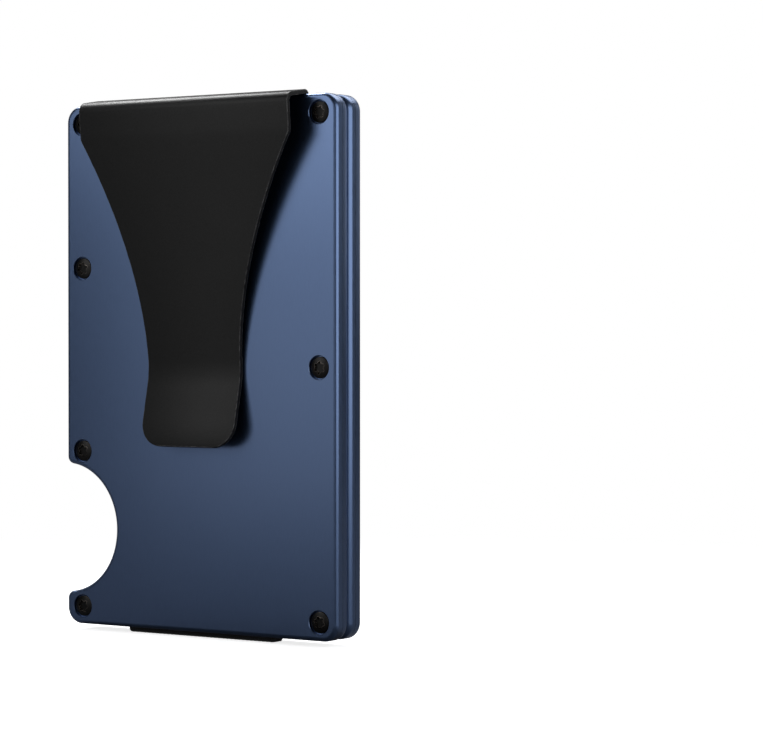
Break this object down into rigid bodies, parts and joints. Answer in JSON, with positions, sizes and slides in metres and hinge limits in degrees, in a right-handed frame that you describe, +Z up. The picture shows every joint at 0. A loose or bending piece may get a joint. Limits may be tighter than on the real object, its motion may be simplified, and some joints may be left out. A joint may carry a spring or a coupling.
{
  "type": "minimalist wallet",
  "caption": "Slim metal card wallet whose two plated halves spread on elastic straps, with a thumb notch, a sprung money clip and a domed ring that clamps a coin-shaped tracker tag.",
  "frame": {"origin": "on the underside of the bottom strap, which the upright wallet stands on, in the plane where the two halves meet and midway across the plates", "axes": "+Z up along the long side, +X towards the side with the thumb notch, -Y out of the face with the tracker ring and +Y out of the face with the money clip"},
  "size_m": [0.0557, 0.0165, 0.0879],
  "materials": {
    "plate": "satin navy blue anodising, fine straight grain",
    "ring": "turned navy blue anodising, satin",
    "clip": "matte black coated spring steel",
    "screw": "black oxide steel",
    "strap": "black woven elastic",
    "tag_cover": "polished dish, one half white and one half black",
    "tag_shell": "white gloss plastic",
    "battery": "nickel-plated coin cell can",
    "board": "green circuit board",
    "speaker": "speaker can"
  },
  "bodies": {
    "front_half": {"front_outer_plate": "plate", "front_inner_plate": "plate", "tag_ring": "ring", "ring_screw_1": "screw", "ring_screw_2": "screw", "front_screw_1": "screw", "front_screw_2": "screw", "front_screw_3": "screw", "front_screw_4": "screw", "front_screw_5": "screw", "front_screw_6": "screw", "front_screw_7": "screw", "strap_top": "strap", "strap_bottom": "strap", "strap_side": "strap", "tag_shell": "tag_shell", "tag_cover": "tag_cover", "tag_battery": "battery", "tag_board": "board", "tag_speaker": "speaker"},
    "rear_half": {"rear_inner_plate": "plate", "rear_outer_plate": "plate", "clip_mount": "clip", "rear_screw_1": "screw", "rear_screw_2": "screw", "rear_screw_3": "screw", "rear_screw_4": "screw", "rear_screw_5": "screw", "rear_screw_6": "screw", "rear_screw_7": "screw"},
    "clip": {"clip_arm": "clip"}
  },
  "joints": [
    {"name": "card_spread", "type": "slide", "parent": "front_half", "child": "rear_half", "axis": [0, 1, 0], "range_m": [0, 0.0091], "stiffness_N_per_m": 600, "springref_m": -0.004, "deforming": ["strap_top", "strap_bottom", "strap_side"]},
    {"name": "clip_flex", "type": "hinge", "parent": "rear_half", "child": "clip", "pos_m": [0, 0.00358, 0.0873], "axis": [1, 0, 0], "range_deg": [0, 6], "stiffness_Nm_per_rad": 0.6, "springref_deg": -1.72}
  ]
}
